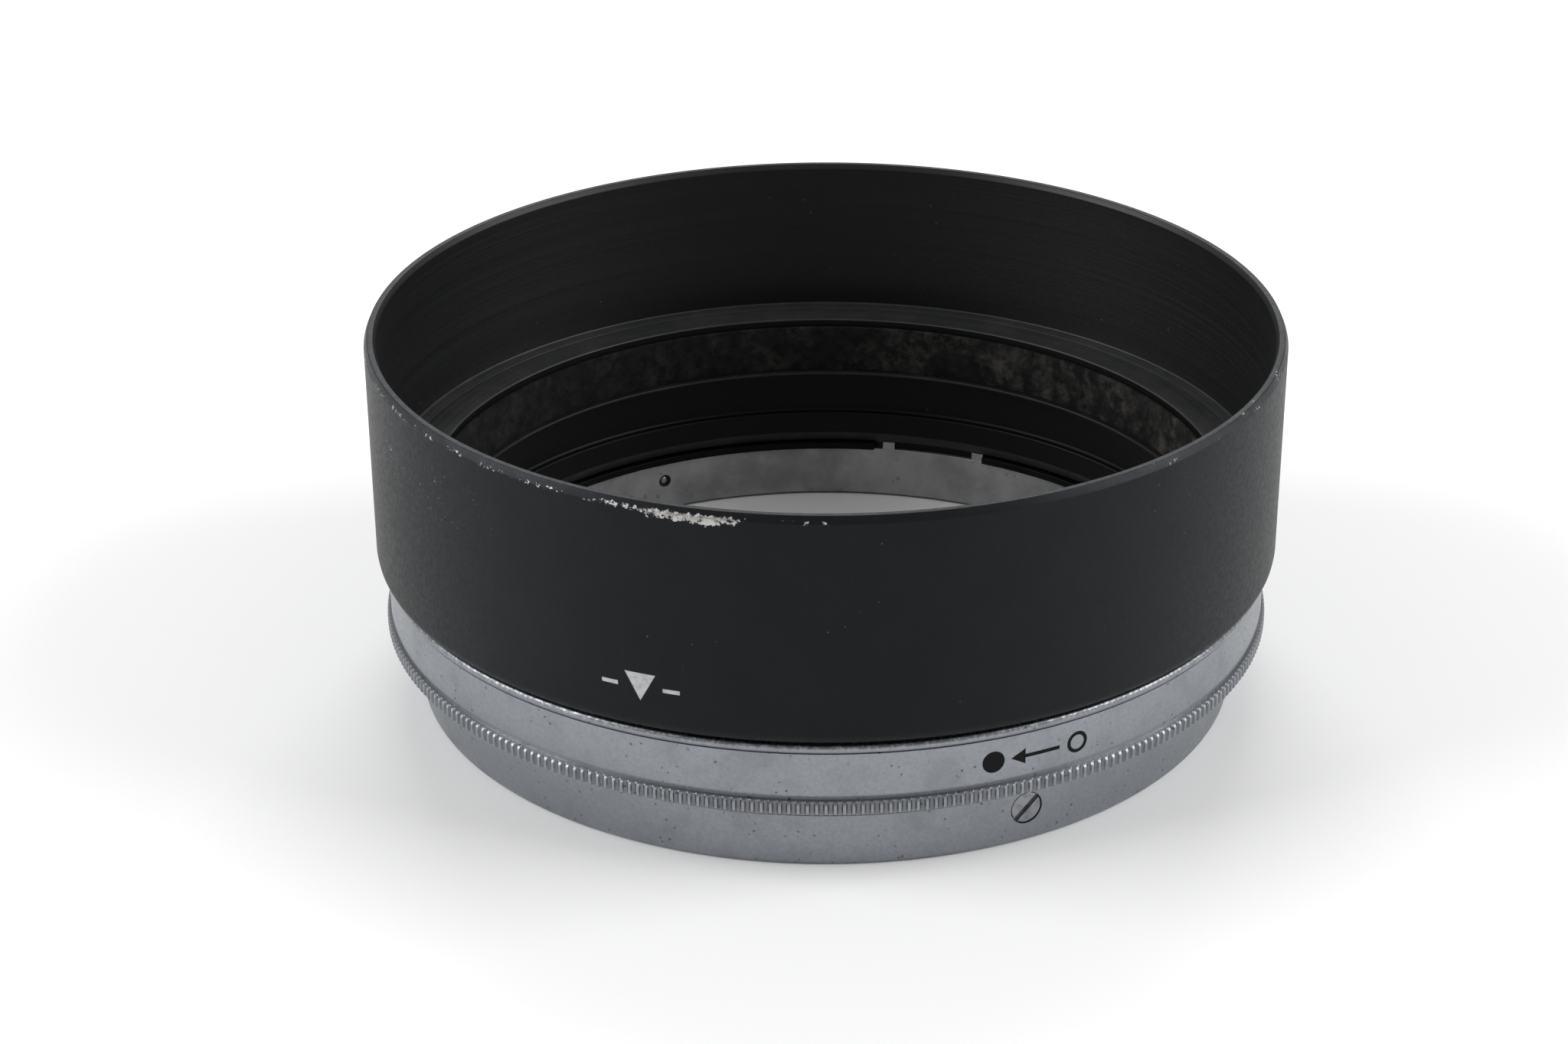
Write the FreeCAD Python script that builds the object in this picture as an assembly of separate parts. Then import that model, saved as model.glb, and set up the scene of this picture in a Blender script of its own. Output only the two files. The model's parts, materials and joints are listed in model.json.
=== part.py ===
"""Clamp-on lens hood: black cylindrical shroud on a satin chrome base with a knurled clamping ring.

Millimetres, +Z up and along the optical axis, origin on that axis at the base ring's foot.
The hood stands on the base ring; the shroud's mouth is at the top. The front is -Y, the right is +X.
Turning the knurled ring clockwise, seen from above, runs three spiral cams in its bore over the
followers of three pivoted jaws, and the jaws close on the 60 mm lens rim pushed in from below.
"""

import FreeCAD, Part

import math
import os

from FreeCAD import Vector

AXIS = Vector(0, 0, 1)
ORIGIN = Vector(0, 0, 0)

# ---- driving dimensions ----
TOTAL_HEIGHT = 29.2
SHROUD_R = 35.0
BASE_R = 32.0
BASE_HEIGHT = 4.18
RING_BOTTOM_Z = 5.6
RING_TOP_Z = 11.2
SHROUD_BOTTOM_Z = 11.45
LEDGE_Z = 16.6
RUNNING_GAP = 0.05           # between pieces that turn on each other
SEAT_GAP = 0.02              # between pieces that are screwed or pressed together
OVERCUT = 0.1                # how far a cutter or a fused root reaches past the surface

# ---- shroud ----
SHROUD_WALL = 0.9
SHROUD_CORNER = 0.9
LIP_OUTER_BEVEL = (0.25, 0.55)   # across, down
LIP_INNER_BEVEL = (0.2, 0.4)

# ---- neck sleeve ----
SLEEVE_R = 33.0
SLEEVE_BORE_R = 32.5
SLEEVE_BOTTOM_Z = 5.07
NECK_LIP_Z = 11.6            # underside of the neck inside the sleeve
LINING_BOTTOM_Z = 12.0
LINING_TOP_Z = 15.95
LINING_R = 30.2
LINING_THICKNESS = 0.3
LEG_COUNT = 3
FIRST_LEG_DEG = -47.7        # azimuth of the first leg's middle, from +X
LEG_SPAN_DEG = 12.8
LEG_BORE_R = 31.0
LEG_R = 32.38                # of the leg's foot, inside the carrier's rim
RECESS_R = 30.9              # between the lining and the flange
SKIRT_BORE_R = 30.35         # the flange and the skirt that hang over the jaws
SKIRT_R = 30.75
SKIRT_BOTTOM_Z = 5.3
SKIRT_BEVEL = (0.2, 0.8)     # across, up
FLANGE_TOP_Z = 7.95
FLANGE_BOTTOM_Z = 7.5

# ---- lens stop ----
STOP_BORE_R = 29.7           # the lens rim stops on its underside
STOP_R = 30.5
STOP_BOTTOM_Z = 11.8

# ---- clamping ring ----
RING_BORE_R = SLEEVE_R + RUNNING_GAP
BEAD_R = 34.4
BEAD_ROUND = 0.42
BAND_R = 34.18
BAND_TOP_Z = 10.47
BAND_BOTTOM_Z = 6.94
GROOVE_DEPTH = 0.12
KNURL_R = 34.5
KNURL_TOP_Z = 6.7
KNURL_CHAMFER = 0.34
KNURL_BOTTOM_CHAMFER = 0.12
FLUTE_COUNT = 330
FLUTE_R = 0.225
FLUTE_DEPTH = 0.225

# ---- jaw carrier ----
CARRIER_BORE_R = 30.7
CARRIER_R = 31.3
CARRIER_BOTTOM_Z = 0.2
CARRIER_FLANGE_BOTTOM_Z = 4.77
CARRIER_FLANGE_TOP_Z = SLEEVE_BOTTOM_Z - SEAT_GAP
CARRIER_SHELF_BOTTOM_Z = BASE_HEIGHT + SEAT_GAP
CARRIER_SHELF_TOP_Z = 4.5    # the jaws slide on it
CARRIER_RIM_BORE_R = 32.4    # the rim round the shelf
STUD_TOP_Z = 5.2             # studs that stand between the legs and the jaws' ends
STUD_R = 31.4
STUD_DEG = (6.5, 8.4)        # from a leg's middle

# ---- jaws ----
RING_TRAVEL_DEG = 35.0
JAW_R = 30.15                # inner face of an open jaw
JAW_OUTER_R = 32.2
JAW_BOTTOM_Z = 4.55
JAW_TOP_Z = 5.15
JAW_LUG_R = 31.35            # inner face of the upright lug that holds the follower
JAW_LUG_TOP_Z = 6.85
JAW_LUG_DEG = (-96.0, 16.0)  # start, from the hinge pin, and span
HINGE_END_DEG = 1.3          # the jaw's end beyond its hinge pin
HINGE_BEFORE_LEG_DEG = 10.0  # the hinge pin's azimuth before the next leg's middle
FREE_END_DEG = -100.2        # the jaw's free end, from its hinge pin
HINGE_R = 31.2
HINGE_PIN_R = 0.4
HINGE_PIN_BOTTOM_Z = 4.23
HINGE_PIN_ROUND = 0.08
FOLLOWER_DEG = -88.0         # azimuth of the follower from the hinge pin
FOLLOWER_R = 0.4
FOLLOWER_TIP_R = 33.72
FOLLOWER_Z = 6.05
JAW_TRAVEL = 0.52            # how far a jaw closes at its follower
CAM_MARGIN_DEG = 1.4
CAM_POINTS = 5

# ---- leg screws ----
LEG_SCREW_CIRCLE_R = 31.62
LEG_SCREW_HEAD_R = 0.28
LEG_SCREW_HEAD_DEPTH = 0.12
LEG_SCREW_SHANK_R = 0.18
LEG_SCREW_TOP_Z = 6.5
LEG_SCREW_SINK = 0.03        # of the head below the shelf's underside
LEG_SCREW_SLOT = (0.1, 0.04) # width, depth

# ---- base ring ----
BASE_BORE_R = CARRIER_R + SEAT_GAP
BASE_FOOT_ROUND = 0.35

# ---- keeper ring ----
KEEPER_BORE_R = SLEEVE_R + SEAT_GAP
KEEPER_R = 33.35
KEEPER_BOTTOM_Z = SLEEVE_BOTTOM_Z

# ---- base screws ----
BASE_SCREW_AZIMUTHS = (-63.0, 117.0)
SCREW_Z = 2.8
SCREW_HEAD_R = 1.22
SCREW_HEAD_DEPTH = 0.42
SCREW_SHANK_R = 0.42
SCREW_TIP_CHAMFER = 0.15
SCREW_SLOT_WIDTH = 0.34
SCREW_SLOT_DEPTH = 0.26
SCREW_SLOT_TURNS = (42.0, 118.0)

# ---- wave spring between ring and shroud ----
SPRING_INNER_R = 33.2
SPRING_OUTER_R = 33.9
SPRING_THICKNESS = 0.1
SPRING_WAVES = 6
SPRING_POINTS_PER_WAVE = 8

# ---- engraved marks ----
MARK_DEPTH = 0.1
INDEX_DEG = -111.8           # triangle and bar on the shroud
INDEX_Z = 14.9
LOCK_MARK_DEG = -64.0        # open ring, arrow and solid dot on the clamping ring
LOCK_MARK_Z = 8.6


# ---- helpers ----
def point(radius, z):
    return Vector(radius, 0, z)


def turned(outline, start_deg=0.0, sweep_deg=360.0):
    """Solid of revolution of a closed outline of (radius, z) corners."""
    corners = [point(*corner) for corner in outline]
    face = Part.Face(Part.makePolygon(corners + corners[:1]))
    face.rotate(ORIGIN, AXIS, start_deg)
    return face.revolve(ORIGIN, AXIS, sweep_deg)


def plain_ring(inner_r, outer_r, bottom_z, top_z, start_deg=0.0, sweep_deg=360.0):
    outline = [(inner_r, bottom_z), (outer_r, bottom_z), (outer_r, top_z), (inner_r, top_z)]
    return turned(outline, start_deg, sweep_deg)


def rounded(solid, radius, z, size):
    """Rounds the circular edge of that radius at that height."""
    edges = []
    for edge in solid.Edges:
        is_circle = isinstance(edge.Curve, Part.Circle)
        if is_circle and abs(edge.Curve.Radius - radius) < 1e-4 and abs(edge.Curve.Center.z - z) < 1e-4:
            edges.append(edge)
    return solid.makeFillet(size, edges)


def at_azimuth(shape, degrees):
    """A copy turned about the optical axis."""
    copy = shape.copy()
    copy.rotate(ORIGIN, AXIS, degrees)
    return copy


def radial_cylinder(radius, inner_r, outer_r, z):
    return Part.makeCylinder(radius, outer_r - inner_r, point(inner_r, z), Vector(1, 0, 0))


def polar(radius, degrees, z=0.0):
    angle = math.radians(degrees)
    return Vector(radius * math.cos(angle), radius * math.sin(angle), z)


def leg_azimuths():
    return [FIRST_LEG_DEG + 360.0 * i / LEG_COUNT for i in range(LEG_COUNT)]


def hinge_azimuths():
    return [leg - HINGE_BEFORE_LEG_DEG for leg in leg_azimuths()]


# ---- engraved marks, each drawn flat about its own middle and turned to its place ----
def engraving(face, surface_r, azimuth, sideways=0.0):
    """Cutting prism of a flat face on the plane x = 0, sunk into a wall of that radius."""
    face.translate(Vector(surface_r - MARK_DEPTH, 0, 0))
    prism = face.extrude(Vector(3 * MARK_DEPTH, 0, 0))
    return at_azimuth(prism, azimuth + math.degrees(sideways / surface_r))


def flat_polygon(corners):
    points = [Vector(0, y, z) for y, z in corners]
    return Part.Face(Part.makePolygon(points + points[:1]))


def flat_bar(half_length, half_width, z):
    return flat_polygon([(-half_length, z - half_width), (half_length, z - half_width),
                         (half_length, z + half_width), (-half_length, z + half_width)])


def flat_disc(radius, z):
    return Part.Face(Part.Wire(Part.makeCircle(radius, Vector(0, 0, z), Vector(1, 0, 0))))


def index_mark_tools():
    """A triangle that points down at the ring, with a bar beside it on either side."""
    half_width, half_height = 1.2, 1.1
    bar_middle, bar_half_length, bar_half_width = 2.35, 0.65, 0.17
    triangle = flat_polygon([(-half_width, INDEX_Z + half_height), (half_width, INDEX_Z + half_height),
                             (0, INDEX_Z - half_height)])
    tools = [engraving(triangle, SHROUD_R, INDEX_DEG)]
    for side in (-1, 1):
        bar = flat_bar(bar_half_length, bar_half_width, INDEX_Z)
        tools.append(engraving(bar, SHROUD_R, INDEX_DEG, side * bar_middle))
    return tools


def lock_mark_tools():
    """An open circle, an arrow and a solid dot: the way the ring turns from open to clamped."""
    circle_middle, circle_r, circle_bore = 3.4, 0.86, 0.57
    shaft_middle, shaft_half_length, shaft_half_width = 0.5, 1.4, 0.15
    head_middle, head_half_length, head_half_width = -1.475, 0.575, 0.62
    ring = flat_disc(circle_r, LOCK_MARK_Z).cut(flat_disc(circle_bore, LOCK_MARK_Z))
    shaft = flat_bar(shaft_half_length, shaft_half_width, LOCK_MARK_Z)
    head = flat_polygon([(head_half_length, LOCK_MARK_Z - head_half_width),
                         (head_half_length, LOCK_MARK_Z + head_half_width),
                         (-head_half_length, LOCK_MARK_Z)])
    return [
        engraving(ring, BAND_R, LOCK_MARK_DEG, circle_middle),
        engraving(shaft, BAND_R, LOCK_MARK_DEG, shaft_middle),
        engraving(head, BAND_R, LOCK_MARK_DEG, head_middle),
        engraving(flat_disc(circle_r, LOCK_MARK_Z), BAND_R, LOCK_MARK_DEG, -circle_middle),
    ]


# ---- fixed pieces ----
def shroud():
    inner_r = SHROUD_R - SHROUD_WALL
    bore_r = SLEEVE_R + SEAT_GAP
    outer_across, outer_down = LIP_OUTER_BEVEL
    inner_across, inner_down = LIP_INNER_BEVEL
    body = turned([
        (bore_r, SHROUD_BOTTOM_Z), (SHROUD_R, SHROUD_BOTTOM_Z), (SHROUD_R, TOTAL_HEIGHT - outer_down),
        (SHROUD_R - outer_across, TOTAL_HEIGHT), (inner_r + inner_across, TOTAL_HEIGHT),
        (inner_r, TOTAL_HEIGHT - inner_down), (inner_r, LEDGE_Z), (bore_r, LEDGE_Z)])
    body = rounded(body, SHROUD_R, SHROUD_BOTTOM_Z, SHROUD_CORNER)
    return body.cut(index_mark_tools())


def neck_sleeve():
    lining_seat_r = LINING_R + LINING_THICKNESS + SEAT_GAP
    stop_seat_z = STOP_BOTTOM_Z - SEAT_GAP
    bevel_across, bevel_up = SKIRT_BEVEL
    tube = turned([
        (SLEEVE_BORE_R, SLEEVE_BOTTOM_Z), (SLEEVE_R, SLEEVE_BOTTOM_Z), (SLEEVE_R, LEDGE_Z),
        (lining_seat_r, LEDGE_Z), (lining_seat_r, stop_seat_z), (LINING_R, stop_seat_z),
        (LINING_R, NECK_LIP_Z),
        (RECESS_R, NECK_LIP_Z), (RECESS_R, FLANGE_TOP_Z), (SKIRT_BORE_R, FLANGE_TOP_Z),
        (SKIRT_BORE_R, SKIRT_BOTTOM_Z + bevel_up), (SKIRT_BORE_R + bevel_across, SKIRT_BOTTOM_Z),
        (SKIRT_R, SKIRT_BOTTOM_Z), (SKIRT_R, FLANGE_BOTTOM_Z), (SLEEVE_BORE_R, FLANGE_BOTTOM_Z)])
    leg_bottom = CARRIER_SHELF_TOP_Z + SEAT_GAP
    root_r = SLEEVE_BORE_R + OVERCUT
    root_z = FLANGE_BOTTOM_Z + OVERCUT
    leg_outline = [(LEG_BORE_R, leg_bottom), (LEG_R, leg_bottom), (LEG_R, SLEEVE_BOTTOM_Z),
                   (root_r, SLEEVE_BOTTOM_Z), (root_r, root_z), (LEG_BORE_R, root_z)]
    screw_hole = Part.makeCylinder(LEG_SCREW_SHANK_R + SEAT_GAP, LEG_SCREW_TOP_Z + 0.3 - leg_bottom,
                                   point(LEG_SCREW_CIRCLE_R, leg_bottom - 0.2), AXIS)
    legs = []
    tools = []
    for leg in leg_azimuths():
        legs.append(turned(leg_outline, leg - LEG_SPAN_DEG / 2, LEG_SPAN_DEG))
        tools.append(at_azimuth(screw_hole, leg))
    for hinge in hinge_azimuths():
        window_middle = hinge + FOLLOWER_DEG - 0.5
        tools.append(plain_ring(SLEEVE_BORE_R - 0.2, SLEEVE_R + 0.2, FOLLOWER_Z - FOLLOWER_R - 0.1,
                                FOLLOWER_Z + FOLLOWER_R + 0.1, window_middle - 1.8, 3.6))
    return tube.fuse(legs).removeSplitter().cut(tools)


def lens_stop():
    """Thin ring between the sleeve's lip and the lining."""
    return plain_ring(STOP_BORE_R, STOP_R, STOP_BOTTOM_Z, LINING_BOTTOM_Z)


def flock_lining():
    return plain_ring(LINING_R, LINING_R + LINING_THICKNESS,
                      LINING_BOTTOM_Z + SEAT_GAP, LINING_TOP_Z - SEAT_GAP)


def base_ring():
    body = plain_ring(BASE_BORE_R, BASE_R, 0, BASE_HEIGHT)
    body = rounded(body, BASE_R, 0, BASE_FOOT_ROUND)
    return body.cut([at_azimuth(screw_body(SEAT_GAP), azimuth) for azimuth in BASE_SCREW_AZIMUTHS])


def jaw_carrier():
    """Bare tube inside the base ring; the jaws slide on its shelf, between studs and inside a rim."""
    body = turned([
        (CARRIER_BORE_R, CARRIER_BOTTOM_Z), (CARRIER_R, CARRIER_BOTTOM_Z),
        (CARRIER_R, CARRIER_SHELF_BOTTOM_Z), (BASE_R, CARRIER_SHELF_BOTTOM_Z),
        (BASE_R, CARRIER_FLANGE_BOTTOM_Z), (SLEEVE_R, CARRIER_FLANGE_BOTTOM_Z),
        (SLEEVE_R, CARRIER_FLANGE_TOP_Z), (CARRIER_RIM_BORE_R, CARRIER_FLANGE_TOP_Z),
        (CARRIER_RIM_BORE_R, CARRIER_SHELF_TOP_Z), (CARRIER_BORE_R, CARRIER_SHELF_TOP_Z)])
    stud_near, stud_far = STUD_DEG
    studs = []
    for leg in leg_azimuths():
        for start in (leg + stud_near, leg - stud_far):
            studs.append(plain_ring(CARRIER_BORE_R, STUD_R, CARRIER_SHELF_TOP_Z - OVERCUT, STUD_TOP_Z,
                                    start, stud_far - stud_near))
    body = body.fuse(studs).removeSplitter()
    tools = [at_azimuth(screw_body(SEAT_GAP), azimuth) for azimuth in BASE_SCREW_AZIMUTHS]
    tools += [at_azimuth(leg_screw(SEAT_GAP), leg) for leg in leg_azimuths()]
    for hinge in hinge_azimuths():
        hole = Part.makeCylinder(HINGE_PIN_R + SEAT_GAP, JAW_TOP_Z - HINGE_PIN_BOTTOM_Z,
                                 point(HINGE_R, HINGE_PIN_BOTTOM_Z - SEAT_GAP), AXIS)
        tools.append(at_azimuth(hole, hinge))
    return body.cut(tools)


def leg_screw(grow=0.0):
    """Countersunk screw from below through the carrier's shelf; grown, it cuts the screw's seat."""
    seat_z = CARRIER_SHELF_BOTTOM_Z + LEG_SCREW_SINK
    head = Part.makeCone(LEG_SCREW_HEAD_R + grow, LEG_SCREW_SHANK_R + grow, LEG_SCREW_HEAD_DEPTH,
                         point(LEG_SCREW_CIRCLE_R, seat_z), AXIS)
    shank = Part.makeCylinder(LEG_SCREW_SHANK_R + grow, LEG_SCREW_TOP_Z - seat_z,
                              point(LEG_SCREW_CIRCLE_R, seat_z), AXIS)
    body = head.fuse(shank).removeSplitter()
    if grow:
        mouth_z = CARRIER_SHELF_BOTTOM_Z - OVERCUT
        mouth = Part.makeCylinder(LEG_SCREW_HEAD_R + grow, seat_z - mouth_z,
                                  point(LEG_SCREW_CIRCLE_R, mouth_z), AXIS)
        return body.fuse(mouth).removeSplitter()
    slot_width, slot_depth = LEG_SCREW_SLOT
    slot = Part.makeBox(4 * LEG_SCREW_HEAD_R, slot_width, slot_depth + OVERCUT,
                        Vector(LEG_SCREW_CIRCLE_R - 2 * LEG_SCREW_HEAD_R, -slot_width / 2, seat_z - OVERCUT))
    return body.cut(slot)


def hinge_pin():
    """Upright pin in the carrier's shelf that a jaw swings on."""
    top = JAW_TOP_Z + HINGE_PIN_ROUND
    body = Part.makeCylinder(HINGE_PIN_R, top - HINGE_PIN_BOTTOM_Z, point(HINGE_R, HINGE_PIN_BOTTOM_Z), AXIS)
    return rounded(body, HINGE_PIN_R, top, HINGE_PIN_ROUND)


def screw_body(grow=0.0):
    """Countersunk head, flush with the base ring, and the shank; grown, it cuts the screw's seat."""
    seat_x = BASE_R - 0.04
    cone = Part.makeCone(SCREW_HEAD_R + grow, SCREW_SHANK_R + grow, SCREW_HEAD_DEPTH,
                         point(seat_x, SCREW_Z), Vector(-1, 0, 0))
    inner_r = CARRIER_BORE_R - grow * 20 + 0.04
    tip = Part.makeCone(SCREW_SHANK_R + grow - SCREW_TIP_CHAMFER, SCREW_SHANK_R + grow, SCREW_TIP_CHAMFER,
                        point(inner_r, SCREW_Z), Vector(1, 0, 0))
    shank_start = inner_r + SCREW_TIP_CHAMFER
    shank = radial_cylinder(SCREW_SHANK_R + grow, shank_start, seat_x - SCREW_HEAD_DEPTH / 2, SCREW_Z)
    body = cone.fuse([shank, tip])
    if grow:
        body = body.fuse(radial_cylinder(SCREW_HEAD_R + grow, seat_x, BASE_R + 0.2, SCREW_Z))
    return body.removeSplitter()


def base_screw(slot_turn):
    seat_x = BASE_R - 0.04
    slot = Part.makeBox(2 * SCREW_SLOT_DEPTH, 4 * SCREW_HEAD_R, SCREW_SLOT_WIDTH,
                        Vector(seat_x - SCREW_SLOT_DEPTH, -2 * SCREW_HEAD_R, SCREW_Z - SCREW_SLOT_WIDTH / 2))
    slot.rotate(point(seat_x, SCREW_Z), Vector(1, 0, 0), slot_turn)
    return screw_body().cut(slot)


def base_screws():
    """The two screws that hold the base ring on the carrier, on opposite sides."""
    turns = zip(BASE_SCREW_AZIMUTHS, SCREW_SLOT_TURNS)
    return Part.makeCompound([at_azimuth(base_screw(turn), azimuth) for azimuth, turn in turns])


def spring_edge(radius, bottom_z, amplitude):
    """One closed wavy edge of the spring."""
    count = SPRING_WAVES * SPRING_POINTS_PER_WAVE
    points = []
    for i in range(count):
        angle = 360.0 * i / count
        height = bottom_z + amplitude * math.sin(math.radians(SPRING_WAVES * angle))
        points.append(polar(radius, angle, height))
    curve = Part.BSplineCurve()
    curve.interpolate(Points=points, PeriodicFlag=True)
    return curve.toShape()


def wave_spring():
    space = SHROUD_BOTTOM_Z - RING_TOP_Z - 2 * SEAT_GAP
    amplitude = (space - SPRING_THICKNESS) / 2
    middle = (SHROUD_BOTTOM_Z + RING_TOP_Z) / 2
    edges = []
    corners = ((SPRING_INNER_R, -1), (SPRING_OUTER_R, -1), (SPRING_OUTER_R, 1), (SPRING_INNER_R, 1))
    for radius, offset in corners:
        edges.append(spring_edge(radius, middle + offset * SPRING_THICKNESS / 2, amplitude))
    faces = [Part.makeRuledSurface(edges[i], edges[(i + 1) % 4]) for i in range(4)]
    shell = Part.makeShell(faces)
    solid = Part.makeSolid(shell)
    if solid.Volume < 0:
        solid.reverse()
    return solid


# ---- pieces that turn with the knurled ring ----
def flutes():
    """Round-bottomed grooves of the knurl, as one group of cylinders."""
    centre_r = KNURL_R - FLUTE_DEPTH + FLUTE_R
    low, high = RING_BOTTOM_Z - 0.2, KNURL_TOP_Z + OVERCUT
    groove = Part.makeCylinder(FLUTE_R, high - low, point(centre_r, low), AXIS)
    return [at_azimuth(groove, 360.0 * i / FLUTE_COUNT) for i in range(FLUTE_COUNT)]


def cam_groove():
    """Groove in the ring's bore whose floor is the spiral cam of the jaw that hinges at azimuth 0."""
    count = CAM_POINTS
    step = (RING_TRAVEL_DEG + 2 * CAM_MARGIN_DEG) / (count - 1)
    steps = [-CAM_MARGIN_DEG + step * i for i in range(count)]
    outer = []
    for ring_turn in steps:
        tip = follower_tip(ring_turn)
        angle = math.degrees(math.atan2(tip.y, tip.x)) + ring_turn
        outer.append(polar(math.hypot(tip.x, tip.y) + RUNNING_GAP, angle))
    curve = Part.BSplineCurve()
    curve.interpolate(outer)
    start = math.degrees(math.atan2(outer[0].y, outer[0].x))
    end = math.degrees(math.atan2(outer[-1].y, outer[-1].x))
    inner_r = RING_BORE_R - 0.2
    inner = [polar(inner_r, angle) for angle in (end, (start + end) / 2, start)]
    wire = Part.Wire([
        curve.toShape(), Part.makeLine(outer[-1], inner[0]),
        Part.Arc(*inner).toShape(), Part.makeLine(inner[2], outer[0])])
    low = RING_BOTTOM_Z - 0.2
    face = Part.Face(wire)
    face.translate(Vector(0, 0, low))
    return face.extrude(Vector(0, 0, FOLLOWER_Z + FOLLOWER_R + 0.12 - low))


def clamp_ring():
    body = turned([
        (RING_BORE_R, RING_TOP_Z), (BEAD_R, RING_TOP_Z), (BEAD_R, BAND_TOP_Z), (BAND_R, BAND_TOP_Z),
        (BAND_R, BAND_BOTTOM_Z), (BAND_R - GROOVE_DEPTH, BAND_BOTTOM_Z - GROOVE_DEPTH),
        (BAND_R - GROOVE_DEPTH, KNURL_TOP_Z), (KNURL_R - KNURL_CHAMFER, KNURL_TOP_Z),
        (KNURL_R, KNURL_TOP_Z - KNURL_CHAMFER), (KNURL_R, RING_BOTTOM_Z + KNURL_BOTTOM_CHAMFER),
        (KNURL_R - KNURL_BOTTOM_CHAMFER, RING_BOTTOM_Z), (RING_BORE_R, RING_BOTTOM_Z)])
    body = rounded(body, BEAD_R, RING_TOP_Z, BEAD_ROUND)
    cams = [at_azimuth(cam_groove(), hinge) for hinge in hinge_azimuths()]
    return body.cut(lock_mark_tools() + cams).cut(flutes())


def keeper_ring():
    """Flat ring on the carrier's flange that keeps the clamping ring from sliding off downward."""
    return plain_ring(KEEPER_BORE_R, KEEPER_R, KEEPER_BOTTOM_Z, RING_BOTTOM_Z - RUNNING_GAP)


# ---- jaws ----
def jaw_turn(ring_turn):
    """Angle in degrees that a jaw has swung inward when the ring has turned that far clockwise."""
    full = math.degrees(JAW_TRAVEL / (HINGE_R * math.sin(math.radians(-FOLLOWER_DEG))))
    return full * ring_turn / RING_TRAVEL_DEG


def follower_tip(ring_turn):
    """Where the follower's tip stands, for the jaw that hinges at azimuth 0."""
    hinge = point(HINGE_R, 0)
    arm = polar(FOLLOWER_TIP_R, FOLLOWER_DEG).sub(hinge)
    swing = math.radians(-jaw_turn(ring_turn))
    turned_arm = Vector(arm.x * math.cos(swing) - arm.y * math.sin(swing),
                        arm.x * math.sin(swing) + arm.y * math.cos(swing), 0)
    return hinge.add(turned_arm)


def clamp_jaw():
    """Flat arc with its hinge at azimuth 0; it runs clockwise from there to its free end."""
    plate = plain_ring(JAW_R, JAW_OUTER_R, JAW_BOTTOM_Z, JAW_TOP_Z,
                       FREE_END_DEG, HINGE_END_DEG - FREE_END_DEG)
    lug = plain_ring(JAW_LUG_R, JAW_OUTER_R, JAW_BOTTOM_Z, JAW_LUG_TOP_Z, *JAW_LUG_DEG)
    body = plate.fuse(lug).removeSplitter()
    hinge_hole = Part.makeCylinder(HINGE_PIN_R + RUNNING_GAP, 2.2, point(HINGE_R, JAW_BOTTOM_Z - 0.2), AXIS)
    follower_hole = radial_cylinder(FOLLOWER_R + SEAT_GAP, JAW_LUG_R - OVERCUT,
                                    JAW_OUTER_R + OVERCUT, FOLLOWER_Z)
    return body.cut([hinge_hole, at_azimuth(follower_hole, FOLLOWER_DEG)])


def jaw_follower():
    """Round-nosed pin in the jaw's lug that reaches through the sleeve's window to the cam."""
    nose_r = FOLLOWER_TIP_R - FOLLOWER_R
    shank = radial_cylinder(FOLLOWER_R, JAW_LUG_R + SEAT_GAP, nose_r, FOLLOWER_Z)
    nose = Part.makeSphere(FOLLOWER_R, point(nose_r, FOLLOWER_Z))
    return at_azimuth(shank.fuse(nose).removeSplitter(), FOLLOWER_DEG)


# ---- assembly ----
def build():
    pieces = {
        "shroud": shroud(),
        "neck_sleeve": neck_sleeve(),
        "lens_stop": lens_stop(),
        "flock_lining": flock_lining(),
        "wave_spring": wave_spring(),
        "base_ring": base_ring(),
        "base_screws": base_screws(),
        "jaw_carrier": jaw_carrier(),
        "keeper_ring": keeper_ring(),
        "clamp_ring": clamp_ring(),
        "leg_screws": Part.makeCompound([at_azimuth(leg_screw(), leg) for leg in leg_azimuths()]),
    }
    for number, hinge in enumerate(hinge_azimuths(), start=1):
        pieces[f"hinge_pin_{number}"] = at_azimuth(hinge_pin(), hinge)
        pieces[f"clamp_jaw_{number}"] = at_azimuth(clamp_jaw(), hinge)
        pieces[f"jaw_follower_{number}"] = at_azimuth(jaw_follower(), hinge)
    return pieces


def export(pieces):
    os.makedirs("parts", exist_ok=True)
    for name, shape in pieces.items():
        shape.exportStep(f"parts/{name}.step")
        print(f"{name}: {len(shape.Solids)} solid, {shape.Volume:.2f} mm3, valid {shape.isValid()}")


def report_joints():
    """Prints the joint values that the record states."""
    full = jaw_turn(RING_TRAVEL_DEG)
    print(f"jaw swing per ring turn {full / RING_TRAVEL_DEG:.6f}, full swing {full:.4f} degrees")
    for number, hinge in enumerate(hinge_azimuths(), start=1):
        pivot = polar(HINGE_R, hinge, (JAW_BOTTOM_Z + JAW_TOP_Z) / 2)
        print(f"jaw {number} hinge {pivot.x:.5f} {pivot.y:.5f} {pivot.z:.3f}")


export(build())
report_joints()
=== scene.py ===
"""Clamp-on lens hood: looks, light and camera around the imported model.

Metres, in the CAD frame: +Z along the optical axis, the front at -Y, the right at +X.
"""

import json
import math

import bmesh
import bpy
import numpy as np
from mathutils import Matrix, Vector

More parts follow.
